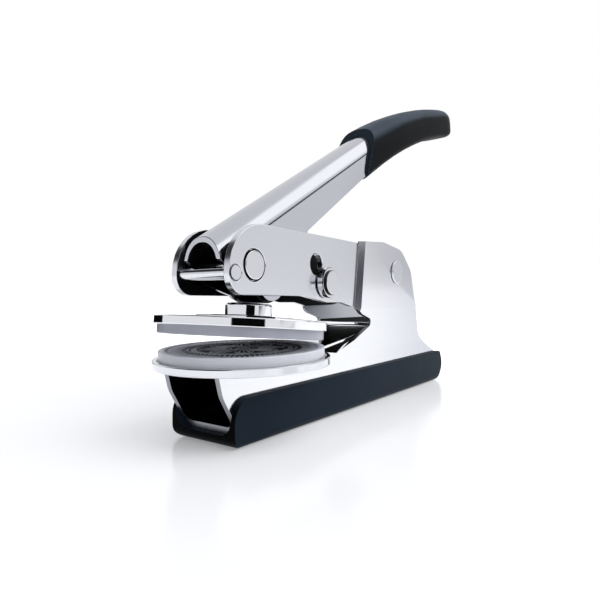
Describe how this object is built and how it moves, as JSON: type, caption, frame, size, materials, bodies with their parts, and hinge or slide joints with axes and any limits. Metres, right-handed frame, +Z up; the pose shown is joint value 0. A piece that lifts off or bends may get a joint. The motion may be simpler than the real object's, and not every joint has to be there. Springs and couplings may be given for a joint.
{
  "type": "seal embosser",
  "caption": "Hand-held seal embosser: a sprung lever with a roller presses an upper die onto a lower die to emboss paper, on a channel-shaped steel body with a moulded shoe.",
  "frame": {"origin": "on the desk plane, on the shoe's underside, directly below the die centre", "axes": "+X across the tool, +Y from the dies to the heel, +Z up"},
  "size_m": [0.0484, 0.1803, 0.134],
  "materials": {
    "shoe_plastic": "satin moulded",
    "grip_plastic": "satin moulded",
    "body_steel": "polished plated sheet",
    "plate_steel": "satin plated sheet",
    "lever_steel": "satin plated sheet",
    "pin_steel": "turned bright",
    "roller_steel": "ground, oiled dark",
    "clip_chrome": "mirror plated",
    "die_resin": "cloudy resin",
    "seal_metal": "engraved, dull"
  },
  "bodies": {
    "frame": {"body_frame": "body_steel", "base_shoe": "shoe_plastic", "die_tray": "body_steel", "left_plate": "plate_steel", "right_plate": "plate_steel", "main_axle": "pin_steel", "pivot_spacers": "pin_steel", "stop_pin": "pin_steel", "rear_rivet": "pin_steel", "rear_spacer": "pin_steel", "clip_lower_arm": "clip_chrome", "lower_die_ring": "die_resin", "seal_plate": "seal_metal"},
    "lever": {"lever": "lever_steel", "grip": "grip_plastic", "roller_axle": "pin_steel"},
    "roller": {"press_roller": "roller_steel"},
    "upper_clip": {"clip_upper_arm": "clip_chrome", "upper_cup": "clip_chrome", "upper_die": "die_resin", "press_button": "clip_chrome", "button_stud": "pin_steel"},
    "lock": {"lock_pin": "pin_steel", "lock_collars": "plate_steel"}
  },
  "joints": [
    {"name": "lever_hinge", "type": "hinge", "parent": "frame", "child": "lever", "pos_m": [0, -0.0068, 0.0452], "axis": [1, 0, 0], "range_deg": [-12.5, 0], "stiffness_Nm_per_rad": 0.6, "springref_deg": 34.38},
    {"name": "roller_spin", "type": "hinge", "parent": "lever", "child": "roller", "pos_m": [0, 0.005, 0.0418], "axis": [1, 0, 0], "continuous": true},
    {"name": "clip_flex", "type": "hinge", "parent": "frame", "child": "upper_clip", "pos_m": [0, 0.02573, 0.02953], "axis": [1, 0, 0], "range_deg": [0, 6], "stiffness_Nm_per_rad": 1, "springref_deg": -2.86},
    {"name": "lock_slide", "type": "slide", "parent": "frame", "child": "lock", "axis": [0, -0.6402, 0.7682], "range_m": [0, 0.00703]}
  ],
  "couplings": [
    {"joint": "clip_flex", "follows": "lever_hinge", "ratio": -0.48}
  ]
}
